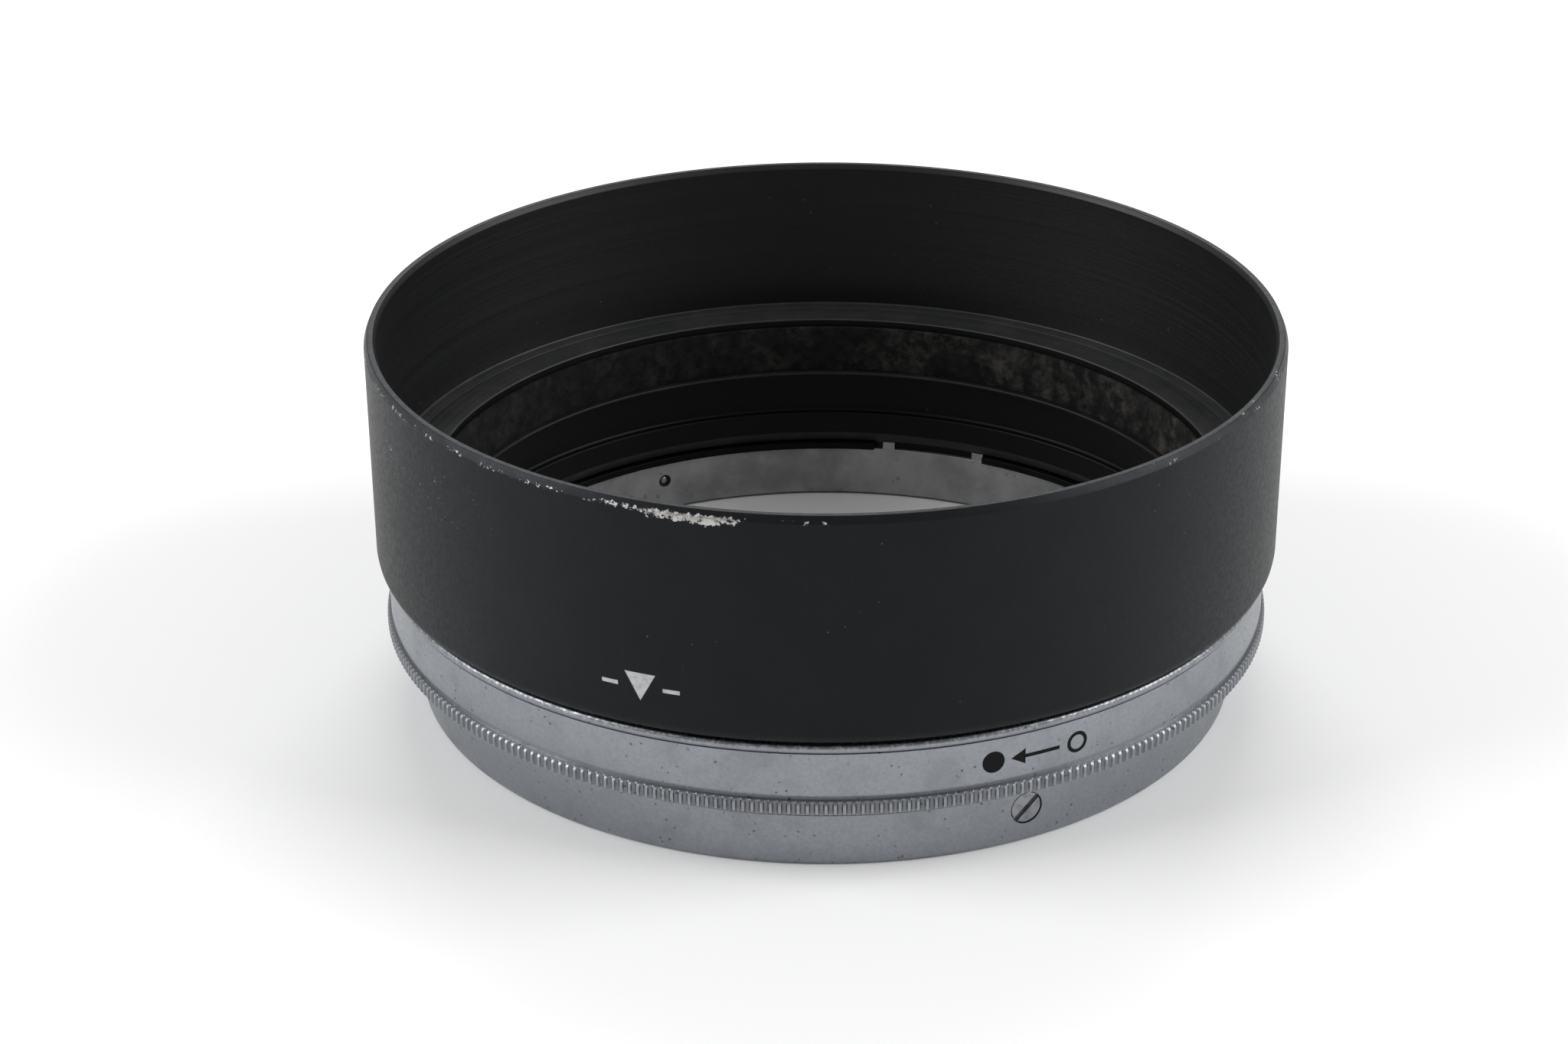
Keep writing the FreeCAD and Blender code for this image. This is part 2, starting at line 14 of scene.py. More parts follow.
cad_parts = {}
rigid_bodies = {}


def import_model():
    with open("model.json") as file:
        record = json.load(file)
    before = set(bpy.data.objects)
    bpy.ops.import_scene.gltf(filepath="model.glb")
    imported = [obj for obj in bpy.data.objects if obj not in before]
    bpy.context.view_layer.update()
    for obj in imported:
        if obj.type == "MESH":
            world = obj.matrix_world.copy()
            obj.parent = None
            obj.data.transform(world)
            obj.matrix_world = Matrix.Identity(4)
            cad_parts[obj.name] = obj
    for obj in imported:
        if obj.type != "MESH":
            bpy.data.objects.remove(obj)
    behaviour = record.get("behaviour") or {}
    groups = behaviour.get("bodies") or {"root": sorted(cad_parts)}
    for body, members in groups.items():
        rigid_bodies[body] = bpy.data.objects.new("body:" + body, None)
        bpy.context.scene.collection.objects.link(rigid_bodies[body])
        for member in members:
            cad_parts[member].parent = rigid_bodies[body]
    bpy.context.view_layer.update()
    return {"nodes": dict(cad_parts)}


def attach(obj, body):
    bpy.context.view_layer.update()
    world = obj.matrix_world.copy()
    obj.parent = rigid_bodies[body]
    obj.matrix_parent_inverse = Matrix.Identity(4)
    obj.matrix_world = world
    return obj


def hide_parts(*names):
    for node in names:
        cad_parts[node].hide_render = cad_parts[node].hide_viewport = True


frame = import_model()

MM = 0.001
SEGMENTS = 480               # round a plain turned piece
ARC_STEPS = 5                # points on a rounded corner
SHARP_DEG = 35.0             # edges sharper than this stay sharp
RING_SHARP_DEG = 38.0
AXIS_R = 1e-7                # stands for the axis in an outline that starts on it


# ---- sizes read from the frame ----
def ring_size(node):
    """(inner radius, outer radius, bottom, top) of a node turned about the axis."""
    vertices = frame["nodes"][node].data.vertices
    points = np.array([v.co for v in vertices])
    radii = np.hypot(points[:, 0], points[:, 1])
    return radii.min(), radii.max(), points[:, 2].min(), points[:, 2].max()


shroud_bore, shroud_r, shroud_bottom, total_height = ring_size("shroud")
_, sleeve_r, leg_bottom, ledge_z = ring_size("neck_sleeve")
stop_bore, stop_r, stop_bottom, stop_top = ring_size("lens_stop")
lining_r, lining_outer_r, lining_bottom, lining_top = ring_size("flock_lining")
base_bore, base_r, _, base_top = ring_size("base_ring")
carrier_bore, carrier_flange_r, carrier_bottom, stud_top = ring_size("jaw_carrier")
ring_bore, knurl_r, ring_bottom, ring_top = ring_size("clamp_ring")
jaw_bore, jaw_outer_r, jaw_bottom, lug_top = ring_size("clamp_jaw_1")

SHROUD_WALL = 0.9 * MM
SEAT_GAP = 0.02 * MM
SLEEVE_WALL = 0.5 * MM
NECK_LIP_Z = 11.6 * MM
SLEEVE_BOTTOM = 5.07 * MM
FLANGE_TOP = 7.95 * MM
FLANGE_BOTTOM = 7.5 * MM
SKIRT_BORE = 30.35 * MM
SKIRT_R = 30.75 * MM
SKIRT_BOTTOM = 5.3 * MM
SKIRT_BEVEL = (0.2 * MM, 0.8 * MM)
RECESS_R = 30.9 * MM
LEG_BORE = 31.0 * MM
LEG_R = 32.38 * MM
SHELF_TOP = 4.5 * MM
FLANGE_UNDERSIDE = 4.77 * MM
CARRIER_TOP = 5.05 * MM
CARRIER_RIM_BORE = 32.4 * MM
SCREW_CLEARANCE_R = 0.56 * MM
STUD_R = 31.4 * MM
STUD_SPAN = (math.radians(6.5), math.radians(8.4))
JAW_PLATE_TOP = 5.15 * MM
LUG_BORE = 31.35 * MM
LUG_SPAN = (math.radians(-96.0), math.radians(16.0))
LEG_SPAN = math.radians(12.8)
FIRST_LEG = math.radians(-47.7)
HINGE_BEFORE_LEG = math.radians(10.0)
HINGE_R = 31.2 * MM
FREE_END = math.radians(-100.2)
HINGE_END = math.radians(1.3)
RING_TRAVEL = math.radians(35.0)
JAW_TRAVEL = 0.52 * MM
FOLLOWER_AZIMUTH = math.radians(-88.0)
FOLLOWER_Z = 6.05 * MM
FOLLOWER_HOLE_R = 0.43 * MM
HINGE_HOLE_R = 0.45 * MM
WINDOW_BOTTOM = 5.5 * MM
WINDOW_TOP = 6.6 * MM
WINDOW_BEFORE = math.radians(2.3)
WINDOW_SPAN = math.radians(3.6)
CUT_BEYOND = 0.2 * MM
CAM_START_R = 33.77 * MM
CAM_MARGIN = math.radians(1.4)
CAM_TOP = 6.57 * MM
BORE_BOTTOM = 6.59 * MM      # the plain bore ends here, just above the cams
BEAD_R = 34.4 * MM
BAND_R = 34.18 * MM
BAND_TOP = 10.47 * MM
BAND_BOTTOM = 6.94 * MM
KNURL_TOP = 6.7 * MM
FLUTE_COUNT = 330
# parts of the pitch
FLUTE_OFFSETS = (-0.5, -0.342, -0.30, -0.20, -0.10, 0.0, 0.10, 0.20, 0.30, 0.342)
FLUTE_R = 0.225 * MM
FLUTE_DEPTH = 0.225 * MM
SCREW_Z = 2.8 * MM
SCREW_HEAD_R = 1.2 * MM
SCREW_SHANK_R = 0.42 * MM
# (radius, reach beyond the carrier's bore) of the domed tip
SCREW_TIP = ((0.2 * MM, 0.09 * MM), (0.35 * MM, 0.24 * MM), (SCREW_SHANK_R, 0.5 * MM))
SCREW_SLOT = (0.5 * MM, 0.42 * MM)      # depth, width
BASE_SCREWS = ((math.radians(-63.0), 42.0), (math.radians(117.0), 118.0))   # azimuth, slot's turn
LEDGE_ZONE = 0.13 * MM       # faces this near the ledge's height count as its own


# ---- mesh helpers ----
def outline(*corners):
    """Closed outline of (r, z, fillet radius) corners, with each fillet as an arc."""
    points = []
    count = len(corners)
    for i, (r, z, fillet) in enumerate(corners):
        here = Vector((r, z))
        if fillet <= 0:
            points.append((r, z))
            continue
        before = (Vector(corners[i - 1][:2]) - here).normalized()
        after = (Vector(corners[(i + 1) % count][:2]) - here).normalized()
        half = before.angle(after) / 2
        reach = fillet / math.tan(half)
        centre = here + (before + after).normalized() * (fillet / math.sin(half))
        start = here + before * reach - centre
        end = here + after * reach - centre
        turn = start.angle_signed(end)
        for k in range(ARC_STEPS + 1):
            arm = Matrix.Rotation(-turn * k / ARC_STEPS, 2) @ start
            points.append(tuple(centre + arm))
    return points


def new_object(name, mesh, body, material):
    piece = bpy.data.objects.new(name, mesh)
    bpy.context.scene.collection.objects.link(piece)
    for one in material if isinstance(material, (list, tuple)) else [material]:
        mesh.materials.append(one)
    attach(piece, body)
    return piece


def finish_mesh(name, vertices, faces, sharp_deg=SHARP_DEG):
    """Mesh with outward normals, smooth but for its sharp edges."""
    mesh = bpy.data.meshes.new(name)
    mesh.from_pydata([tuple(v) for v in vertices], [], faces)
    tool = bmesh.new()
    tool.from_mesh(mesh)
    bmesh.ops.recalc_face_normals(tool, faces=tool.faces)
    tool.to_mesh(mesh)
    tool.free()
    mesh.shade_smooth()
    mesh.set_sharp_from_angle(angle=math.radians(sharp_deg))
    return mesh


def turned_mesh(name, points, segments=SEGMENTS, start=0.0, sweep=2 * math.pi):
    """Closed outline turned about the axis; a part turn gets end caps."""
    whole = sweep >= 2 * math.pi - 1e-9
    columns = segments if whole else segments + 1
    rows = len(points)
    angles = start + sweep * np.arange(columns) / segments
    vertices = [(r * math.cos(a), r * math.sin(a), z) for a in angles for r, z in points]
    faces = []
    for c in range(segments):
        d = (c + 1) % columns
        for k in range(rows):
            m = (k + 1) % rows
            faces.append((c * rows + k, d * rows + k, d * rows + m, c * rows + m))
    if not whole:
        faces.append(tuple(range(rows)))
        faces.append(tuple((columns - 1) * rows + k for k in reversed(range(rows))))
    return finish_mesh(name, vertices, faces)


def carve(mesh, cutters, sharp_deg=SHARP_DEG):
    """The mesh with the cutter meshes taken out of it."""
    base = bpy.data.objects.new("carve_base", mesh)
    bpy.context.scene.collection.objects.link(base)
    folder = bpy.data.collections.new("cutters")
    for cutter in cutters:
        folder.objects.link(bpy.data.objects.new("cutter", cutter))
    bpy.context.scene.collection.children.link(folder)
    change = base.modifiers.new("carve", "BOOLEAN")
    change.operation = "DIFFERENCE"
    change.solver = "EXACT"
    change.operand_type = "COLLECTION"
    change.collection = folder
    bpy.context.view_layer.update()
    evaluated = base.evaluated_get(bpy.context.evaluated_depsgraph_get())
    result = bpy.data.meshes.new_from_object(evaluated)
    for tool in list(folder.objects):
        bpy.data.objects.remove(tool)
    bpy.data.collections.remove(folder)
    bpy.data.objects.remove(base)
    result.name = mesh.name
    result.shade_smooth()
    result.set_sharp_from_angle(angle=math.radians(sharp_deg))
    return result


def joined(name, meshes):
    """One mesh made of all the given ones."""
    tool = bmesh.new()
    for mesh in meshes:
        tool.from_mesh(mesh)
    result = bpy.data.meshes.new(name)
    tool.to_mesh(result)
    tool.free()
    result.shade_smooth()
    result.set_sharp_from_angle(angle=math.radians(SHARP_DEG))
    return result


def placed(mesh, azimuth):
    """A copy of the mesh turned about the axis."""
    copy = mesh.copy()
    copy.transform(Matrix.Rotation(azimuth, 4, "Z"))
    return copy


def radial_turned(name, points, z, segments=64):
    """Outline of (radius, reach) corners turned about a line along +X at height z."""
    mesh = turned_mesh(name, points, segments)
    mesh.transform(Matrix.Translation((0, 0, z)) @ Matrix.Rotation(math.pi / 2, 4, "Y"))
    return mesh


def radial_cylinder(radius, inner, outer, z):
    corners = [(AXIS_R, inner), (radius, inner), (radius, outer), (AXIS_R, outer)]
    return radial_turned("drill", corners, z, 32)


# ---- engraved marks ----
def wrapped_prism(name, corners, surface_r, low, high, azimuth):
    """Flat outline of (sideways, up) corners wrapped on the wall, from low to high off its surface."""
    vertices = []
    for reach in (surface_r + low, surface_r + high):
        for side, z in corners:
            angle = azimuth + side / surface_r
            vertices.append((reach * math.cos(angle), reach * math.sin(angle), z))
    count = len(corners)
    faces = [tuple(range(count)), tuple(range(2 * count - 1, count - 1, -1))]
    for k in range(count):
        m = (k + 1) % count
        faces.append((k, m, m + count, k + count))
    return finish_mesh(name, vertices, faces)


def bar(left, right, z, half):
    """Bar from left to right with enough corners to follow the wall."""
    steps = 8
    along = [left + (right - left) * k / steps for k in range(steps + 1)]
    return [(s, z - half) for s in along] + [(s, z + half) for s in reversed(along)]


def disc(side, z, radius, steps=32):
    turns = [2 * math.pi * k / steps for k in range(steps)]
    return [(side + radius * math.cos(t), z + radius * math.sin(t)) for t in turns]


def crescent(side, z, radius, bore, start, end, steps=16):
    """Part of a flat ring between two angles."""
    turns = [start + (end - start) * k / steps for k in range(steps + 1)]
    outside = [(side + radius * math.cos(t), z + radius * math.sin(t)) for t in turns]
    inside = [(side + bore * math.cos(t), z + bore * math.sin(t)) for t in reversed(turns)]
    return outside + inside


INDEX_AZIMUTH = math.radians(-111.8)
INDEX_Z = 14.9 * MM
LOCK_AZIMUTH = math.radians(-64.0)
LOCK_Z = 8.6 * MM
MARK_DEPTH = 0.1 * MM


def index_marks():
    """A triangle that points down at the ring, with a bar beside it on either side."""
    top = INDEX_Z + 1.1 * MM
    shapes = [[(-1.2 * MM, top), (0, INDEX_Z - 1.1 * MM), (1.2 * MM, top), (0.4 * MM, top),
               (-0.4 * MM, top)]]
    for side in (-1, 1):
        left, right = sorted((side * 1.7 * MM, side * 3.0 * MM))
        shapes.append(bar(left, right, INDEX_Z, 0.17 * MM))
    return shapes


def lock_marks():
    """An open circle, an arrow and a solid dot: the way the ring turns from open to clamped."""
    half = 0.15 * MM
    shaft = bar(-0.9 * MM, 1.9 * MM, LOCK_Z, half)
    head = [(-0.9 * MM, LOCK_Z + half), (-0.9 * MM, LOCK_Z + 0.62 * MM), (-2.05 * MM, LOCK_Z),
            (-0.9 * MM, LOCK_Z - 0.62 * MM)]
    circle = 3.4 * MM
    return [shaft + head, disc(-circle, LOCK_Z, 0.86 * MM),
            crescent(circle, LOCK_Z, 0.86 * MM, 0.57 * MM, 0, math.pi),
            crescent(circle, LOCK_Z, 0.86 * MM, 0.57 * MM, math.pi, 2 * math.pi)]


def mark_cutters(shapes, surface_r, azimuth):
    return [wrapped_prism("engraving", shape, surface_r, -MARK_DEPTH, MARK_DEPTH, azimuth)
            for shape in shapes]


def mark_fill(name, shapes, surface_r, azimuth):
    """Paint in the engraving, a little below the surface."""
    low, high = -MARK_DEPTH * 1.02, -MARK_DEPTH * 0.3
    fills = [wrapped_prism(name, shape, surface_r, low, high, azimuth) for shape in shapes]
    return joined(name, fills)


# ---- material helpers ----
class Surface:
    """Builds one procedural material, in object coordinates, which are the CAD frame's."""

    def __init__(self, name):
        self.material = bpy.data.materials.new(name)
        self.material.use_nodes = True
        self.tree = self.material.node_tree
        self.shader = self.tree.nodes["Principled BSDF"]
        self.place = self.add("ShaderNodeTexCoord").outputs["Object"]
        split = self.add("ShaderNodeSeparateXYZ", Vector=self.place).outputs
        self.x, self.y, self.z = split["X"], split["Y"], split["Z"]
        self.bump_socket = None

    def add(self, kind, _settings=None, **inputs):
        node = self.tree.nodes.new(kind)
        for key, value in (_settings or {}).items():
            setattr(node, key, value)
        for key, value in inputs.items():
            self.put(node.inputs[int(key[1:]) if key[0] == "_" else key.replace("_", " ")], value)
        return node

    def put(self, socket, value):
        if isinstance(value, bpy.types.NodeSocket):
            self.tree.links.new(value, socket)
        else:
            socket.default_value = value

    def math(self, operation, a, b=0.0, c=0.0):
        return self.add("ShaderNodeMath", {"operation": operation}, _0=a, _1=b, _2=c).outputs[0]

    def between(self, value, low, high, to_low=0.0, to_high=1.0):
        """value mapped from low..high to to_low..to_high with a soft start and end."""
        node = self.add("ShaderNodeMapRange", {"interpolation_type": "SMOOTHSTEP"}, Value=value)
        limits = {"From Min": low, "From Max": high, "To Min": to_low, "To Max": to_high}
        for key, number in limits.items():
            node.inputs[key].default_value = number
        return node.outputs["Result"]

    def noise(self, scale, detail=2.0, roughness=0.5, vector=None, distortion=0.0):
        node = self.add("ShaderNodeTexNoise", Scale=scale, Detail=detail, Roughness=roughness,
                        Distortion=distortion)
        self.put(node.inputs["Vector"], vector or self.place)
        return node.outputs["Fac"]

    def cells(self, scale):
        """Distance from the middle of the nearest cell."""
        return self.add("ShaderNodeTexVoronoi", Scale=scale, Vector=self.place).outputs["Distance"]

    def colour(self, amount, a, b):
        """Mix of two colours."""
        node = self.add("ShaderNodeMix", {"data_type": "RGBA"})
        self.put(node.inputs[0], amount)
        for socket, value in ((node.inputs[6], a), (node.inputs[7], b)):
            self.put(socket, (*value, 1.0) if isinstance(value, tuple) else value)
        return node.outputs[2]

    def number(self, amount, a, b):
        """Mix of two numbers."""
        node = self.add("ShaderNodeMix", {"data_type": "FLOAT"})
        for socket, value in ((node.inputs[0], amount), (node.inputs[2], a), (node.inputs[3], b)):
            self.put(socket, value)
        return node.outputs[0]

    def radius(self):
        across = self.math("MULTIPLY", self.x, self.x)
        along = self.math("MULTIPLY", self.y, self.y)
        return self.math("SQRT", self.math("ADD", across, along))

    def azimuth(self):
        """Degrees from the front towards the right."""
        turn = self.math("ARCTAN2", self.x, self.math("MULTIPLY", self.y, -1.0))
        return self.math("MULTIPLY", turn, 180 / math.pi)

    def turning(self, scale, along=4.0):
        """Fine lines that run round the axis, as a lathe leaves them."""
        stretched = self.add("ShaderNodeCombineXYZ",
                             X=self.math("MULTIPLY", self.azimuth(), along / 360.0),
                             Y=self.math("MULTIPLY", self.z, scale),
                             Z=self.math("MULTIPLY", self.radius(), scale))
        return self.noise(1.0, 3.0, 0.6, stretched.outputs[0])

    def bump(self, height, depth, strength=1.0):
        """Adds a bump of that depth in metres on top of the ones before it."""
        node = self.add("ShaderNodeBump", Height=height, Distance=depth, Strength=strength)
        if self.bump_socket is not None:
            self.put(node.inputs["Normal"], self.bump_socket)
        self.bump_socket = node.outputs["Normal"]
        self.put(self.shader.inputs["Normal"], self.bump_socket)

    def set(self, **inputs):
        """Sets the shader's sockets and returns the material."""
        for key, value in inputs.items():
            socket = self.shader.inputs[key.replace("_", " ")]
            self.put(socket, (*value, 1.0) if isinstance(value, tuple) else value)
        return self.material


# ---- materials ----
BLACK = (0.0044, 0.0046, 0.0051)
BARE = (0.52, 0.51, 0.495)


def both(surface, *masks):
    """Product of masks."""
    result = masks[0]
    for mask in masks[1:]:
        result = surface.math("MULTIPLY", result, mask)
    return result


def either(surface, *masks):
    """The strongest of the masks."""
    result = masks[0]
    for mask in masks[1:]:
        result = surface.math("MAXIMUM", result, mask)
    return result


def window(surface, value, low, high, soft):
    """1 between low and high, 0 outside, with soft edges."""
    rise = surface.between(value, low - soft, low + soft)
    fall = surface.between(value, high - soft, high + soft, 1.0, 0.0)
    return both(surface, rise, fall)


def big_chip(s, ragged, patchy):
    """The largest chip: straight along the lip's edge, ragged and tapering below."""
    off = s.math("DIVIDE", s.math("ADD", s.azimuth(), 17.5), 8.8)
    swell = s.math("MAXIMUM", s.math("SUBTRACT", 1.0, s.math("MULTIPLY", off, off)), 0.0)
    depth = s.math("MULTIPLY", s.math("POWER", swell, 0.5), 0.60)
    below_lip = s.math("DIVIDE", s.math("SUBTRACT", total_height - 0.36 * MM, s.z), MM)
    rough = s.math("MULTIPLY", s.math("SUBTRACT", ragged, 0.5), 2.0)
    bitten = s.math("MULTIPLY", s.math("SUBTRACT", patchy, 0.5), 1.2)
    reach = s.math("ADD", depth, s.math("ADD", rough, bitten))
    edge = s.math("SUBTRACT", reach, s.math("ADD", below_lip, 0.12))
    top_edge = s.math("ADD", below_lip, s.math("MULTIPLY", s.math("SUBTRACT", ragged, 0.5), 0.9))
    holes = s.between(s.noise(3900.0, 3.0, 0.7), 0.40, 0.46)
    kept = s.math("MAXIMUM", holes, s.between(off, -0.1, 0.5))
    return both(s, s.between(edge, 0.0, 0.06), s.between(top_edge, -0.02, 0.05),
                s.between(swell, 0.0, 0.05), kept)


def shroud_outside():
    """Satin black, with chips to bare metal along the rim, a few scuffs, and the lip's bevel lightened:
    polish in patches and a painted highlight at the sides.
    """
    s = Surface("shroud satin black")
    azimuth = s.azimuth()
    grain = s.noise(2600.0, 3.0, 0.6)
    ragged = s.noise(2600.0, 5.0, 0.7)
    patchy = s.noise(420.0, 3.0, 0.6)
    speck = s.noise(3800.0, 2.0, 0.7)
    top = total_height
    edge_zone = window(s, s.z, top - 0.62 * MM, top - 0.36 * MM, 0.05 * MM)
    left_rim = both(s, window(s, azimuth, -84.0, -27.0, 4.0), edge_zone, s.between(speck, 0.56, 0.60),
                    s.between(patchy, 0.42, 0.54))
    front_rim = both(s, window(s, azimuth, -8.0, 1.5, 0.8), edge_zone, s.between(patchy, 0.52, 0.56),
                     s.between(ragged, 0.50, 0.56))
    right_rim = both(s, window(s, azimuth, 44.0, 78.0, 3.0),
                     window(s, s.z, top - 0.5 * MM, top + MM, 0.06 * MM),
                     s.between(ragged, 0.56, 0.61), s.between(patchy, 0.54, 0.6))
    scuff_high = both(s, window(s, azimuth, -70.0, -60.0, 3.0),
                      window(s, s.z, 23.6 * MM, 26.2 * MM, 0.8 * MM))
    scuff_low = both(s, window(s, azimuth, -58.0, -44.0, 4.0),
                     window(s, s.z, 22.6 * MM, 26.0 * MM, 1.0 * MM))
    scuffs = both(s, s.math("MAXIMUM", scuff_high, s.math("MULTIPLY", scuff_low, 0.8)),
                  s.between(speck, 0.64, 0.68), s.between(patchy, 0.47, 0.58))
    specks = both(s, s.between(s.cells(1150.0), 0.075, 0.045),
                  s.between(s.noise(150.0, 2.0), 0.57, 0.64))
    wear = either(s, big_chip(s, ragged, patchy), left_rim, front_rim, right_rim,
                  s.math("MULTIPLY", scuffs, 0.7), s.math("MULTIPLY", specks, 0.22))
    cloud = s.between(s.noise(240.0, 4.0, 0.6), 0.35, 0.7)
    tone = s.colour(cloud, BLACK, tuple(c * 1.25 for c in BLACK))
    # painted highlight: the lip's bevel is lightened at the left and right sides, mixed with polish in
    # patches
    side_highlight_zone = s.between(s.math("ABSOLUTE", s.x), 0.010, 0.026)
    lip_polish_and_side_highlight = both(s, s.between(s.z, top - 0.62 * MM, top - 0.45 * MM),
                      s.between(patchy, 0.3, 0.6, 0.5, 1.0), side_highlight_zone)
    tone = s.colour(lip_polish_and_side_highlight, tone, (0.020, 0.0205, 0.022))
    s.bump(grain, 0.006 * MM, 0.5)
    s.bump(s.math("SUBTRACT", 1.0, wear), 0.03 * MM, 0.8)
    rough = s.number(wear, s.between(grain, 0.3, 0.7, 0.40, 0.50), s.between(ragged, 0.4, 0.7, 0.35, 0.6))
    bare_tone = s.colour(s.between(ragged, 0.45, 0.62), tuple(c * 0.6 for c in BARE), BARE)
    return s.set(Base_Color=s.colour(wear, tone, bare_tone),
                 Metallic=s.math("MULTIPLY", wear, 0.8), Roughness=rough,
                 Specular_IOR_Level=0.155, Specular_Tint=(0.80, 0.89, 1.0))


def inner_black(name, lines=26000.0, tone=(0.0030, 0.0033, 0.0032), dusty=0.0, gloss=0.3):
    """Matt black with turning lines; dusty adds a pale film, gloss sets its specular level."""
    s = Surface(name)
    turning = s.turning(lines)
    film = s.between(s.noise(330.0, 5.0, 0.65), 0.42, 0.75)
    base = s.colour(s.between(turning, 0.4, 0.65), tone, tuple(c * 1.5 for c in tone))
    dust = both(s, s.between(s.cells(700.0), 0.07, 0.045),
                s.between(s.noise(130.0, 2.0), 0.56, 0.62))
    pale = s.math("MAXIMUM", s.math("MULTIPLY", film, dusty), s.math("MULTIPLY", dust, 0.5))
    s.bump(turning, 0.012 * MM, 0.6)
    return s.set(Base_Color=s.colour(pale, base, (0.075, 0.074, 0.070)),
                 Roughness=s.between(turning, 0.3, 0.7, 0.40, 0.54), Specular_IOR_Level=gloss)


def lining_material():
    """Dusty flock, rubbed to grey-brown in patches."""
    s = Surface("flock lining")
    patch = s.noise(260.0, 6.0, 0.66, distortion=0.5)
    flecks = s.noise(900.0, 4.0, 0.7)
    fibre = s.noise(6500.0, 2.0, 0.7)
    rubbed = both(s, s.between(patch, 0.42, 0.64), s.between(flecks, 0.36, 0.66))
    more_right = s.between(s.x, -0.015, 0.02, 0.3, 1.0)
    amount = both(s, rubbed, more_right)
    base = s.colour(s.between(flecks, 0.35, 0.65), (0.0022, 0.0022, 0.0022),
                    (0.0075, 0.0073, 0.0070))
    s.bump(fibre, 0.05 * MM, 0.6)
    s.bump(patch, 0.12 * MM, 0.4)
    return s.set(Base_Color=s.colour(amount, base, (0.044, 0.042, 0.038)), Roughness=0.93,
                 Specular_IOR_Level=0.2)


def satin_chrome(name, tone=(0.295, 0.310, 0.334)):
    """Satin chrome, with fine pits, faint stains, a soft grain round the axis, painted shade in the
    corner over the knurl, and patches that darken towards the bead's top under the shroud.
    """
    s = Surface(name)
    grain = s.turning(16000.0, 90.0)
    fine = s.noise(3400.0, 4.0, 0.65)
    stain = s.between(s.noise(260.0, 5.0, 0.62), 0.44, 0.74)
    pits = both(s, s.between(s.cells(1500.0), 0.20, 0.10),
                s.between(s.noise(420.0, 3.0, 0.6), 0.47, 0.60))
    base = s.colour(s.math("MULTIPLY", stain, 0.55), tone, tuple(c * 0.74 for c in tone))
    base = s.colour(s.math("MULTIPLY", s.between(fine, 0.40, 0.62), 0.40), base,
                    tuple(c * 0.78 for c in tone))
    # painted shade in the corner where the plain band meets the knurled flange's top
    darkening = both(s, s.between(s.radius(), 34.46 * MM, 34.36 * MM),
                 s.between(s.z, KNURL_TOP + 0.05 * MM, KNURL_TOP - 0.05 * MM),
                 s.between(s.radius(), 33.9 * MM, 34.1 * MM))
    # patches that darken towards the bead's top, under the shroud
    bead_top_darkening = both(s, s.between(s.z, ring_top - 0.42 * MM, ring_top - 0.1 * MM),
                s.between(fine, 0.36, 0.56))
    base = s.colour(s.math("MULTIPLY", pits, 0.8), base, (0.07, 0.07, 0.07))
    # mix of the painted corner shade and the dark patches at the bead's top
    shade_and_bead_top_dark = s.math("MAXIMUM", s.math("MULTIPLY", darkening, 0.42), s.math("MULTIPLY", bead_top_darkening, 0.72))
    base = s.colour(shade_and_bead_top_dark, base, (0.055, 0.053, 0.050))
    s.bump(fine, 0.010 * MM, 0.5)
    s.bump(grain, 0.004 * MM, 0.35)
    s.bump(s.math("SUBTRACT", 1.0, pits), 0.02 * MM, 0.5)
    rough = s.number(stain, s.between(fine, 0.3, 0.7, 0.33, 0.43), 0.5)
    return s.set(Base_Color=base, Metallic=1.0, Roughness=rough)


def bare_metal():
    """Bare turned metal inside the base, dull and stained."""
    s = Surface("bare turned metal")
    turning = s.turning(21000.0, 8.0)
    cloud = s.between(s.noise(210.0, 5.0, 0.62), 0.36, 0.70)
    spots = both(s, s.between(s.cells(800.0), 0.2, 0.1), s.between(s.noise(300.0, 3.0), 0.50, 0.62))
    base = s.colour(cloud, (0.36, 0.362, 0.365), (0.25, 0.252, 0.255))
    base = s.colour(s.math("MULTIPLY", spots, 0.5), base, (0.09, 0.09, 0.088))
    s.bump(turning, 0.008 * MM, 0.5)
    return s.set(Base_Color=base, Metallic=0.9, Roughness=s.between(cloud, 0.0, 1.0, 0.40, 0.55))


def steel(name, tone, rough):
    """Plain steel with grime in its grain."""
    s = Surface(name)
    fine = s.noise(5200.0, 3.0, 0.6)
    darkening = s.between(s.noise(1500.0, 4.0, 0.6), 0.42, 0.7)
    base = s.colour(s.math("MULTIPLY", darkening, 0.6), tone, tuple(c * 0.45 for c in tone))
    s.bump(fine, 0.008 * MM, 0.6)
    return s.set(Base_Color=base, Metallic=1.0,
                 Roughness=s.between(fine, 0.3, 0.7, rough - 0.06, rough + 0.08))


def paint(name, tone):
    """Filling paint in the engraved marks, a little worn."""
    s = Surface(name)
    worn = s.between(s.noise(2600.0, 4.0, 0.6), 0.38, 0.72)
    s.bump(worn, 0.02 * MM, 0.5)
    return s.set(Base_Color=s.colour(worn, tone, tuple(c * 0.72 for c in tone)), Roughness=0.6,
                 Specular_IOR_Level=0.12)


black_outside = shroud_outside()
black_inside = inner_black("shroud inside black", 24000.0)
black_ledge = inner_black("ledge black", 9000.0, (0.018, 0.0196, 0.0188), 0.2)
black_sleeve = inner_black("sleeve black", 15000.0, (0.0012, 0.0014, 0.0013), gloss=0.14)
